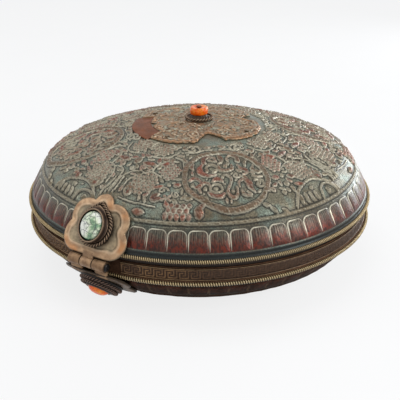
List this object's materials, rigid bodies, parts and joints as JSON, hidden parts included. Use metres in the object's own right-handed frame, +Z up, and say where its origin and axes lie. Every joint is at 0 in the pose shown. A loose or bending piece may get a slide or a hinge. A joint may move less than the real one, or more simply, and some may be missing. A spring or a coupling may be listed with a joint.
{
  "type": "copper hinged box",
  "caption": "Round lens-shaped copper box with a domed, chased lid on a pinned hinge, a draw-pin catch opposite, milled wire edges and stone-set fittings.",
  "frame": {"origin": "centre of the flat on which the base stands", "axes": "+Z up through the finial, -Y towards the hinge, +Y towards the catch, +X along the hinge pin and the way the catch's pin draws out"},
  "size_m": [0.2421, 0.2558, 0.1033],
  "materials": {
    "patinated_copper": "chased copper with a grey-green patina and worn red-brown heights",
    "plain_copper": "plain brown copper sheet",
    "plate_copper": "worn pinkish copper sheet, chased",
    "patch_copper": "smooth reddish copper sheet",
    "base_copper": "dark patinated copper",
    "band_copper": "brown copper band with a pressed meander",
    "brass_wire": "yellow brass, worn bright",
    "dark_bezel": "dark brown patinated silver-copper setting",
    "coral": "polished orange coral",
    "turquoise": "polished pale turquoise with dark veins"
  },
  "bodies": {
    "base": {"base_shell": "base_copper", "inner_collar": "plain_copper", "base_milled_wire": "brass_wire", "meander_band": "band_copper", "hinge_pin": "brass_wire", "hinge_leaf_lower": "plate_copper", "hinge_lower_rivets": "plain_copper", "hinge_coral_rope_ring": "dark_bezel", "hinge_coral_second_ring": "dark_bezel", "hinge_coral_collar": "dark_bezel", "hinge_coral_stone": "coral", "catch_leaf_lower": "plate_copper", "catch_lower_rivets": "plain_copper", "catch_coral_rope_ring": "dark_bezel", "catch_coral_second_ring": "dark_bezel", "catch_coral_collar": "dark_bezel", "catch_coral_stone": "coral"},
    "lid": {"lid_shell": "patinated_copper", "lid_rim_flange": "plain_copper", "lid_milled_wire": "brass_wire", "top_plaque": "plate_copper", "plaque_patch": "patch_copper", "plaque_rivets": "plate_copper", "finial_rope_ring": "dark_bezel", "finial_cup": "dark_bezel", "finial_coral": "coral", "finial_washer": "brass_wire", "finial_pin": "dark_bezel", "hinge_leaf_upper": "plate_copper", "hinge_upper_rivets": "plain_copper", "hinge_turquoise_rope_ring": "dark_bezel", "hinge_turquoise_collar": "dark_bezel", "hinge_turquoise_stone": "turquoise", "catch_leaf_upper": "plate_copper", "catch_upper_rivets": "plain_copper", "catch_turquoise_rope_ring": "dark_bezel", "catch_turquoise_collar": "dark_bezel", "catch_turquoise_stone": "turquoise"},
    "catch_pin": {"catch_pin": "brass_wire"}
  },
  "joints": [
    {"name": "lid_hinge", "type": "hinge", "parent": "base", "child": "lid", "pos_m": [0, -0.1245, 0.0392], "axis": [1, 0, 0], "range_deg": [0, 105]},
    {"name": "catch_pin_slide", "type": "slide", "parent": "base", "child": "catch_pin", "axis": [-1, 0, 0], "range_m": [0, 0.0186]}
  ]
}
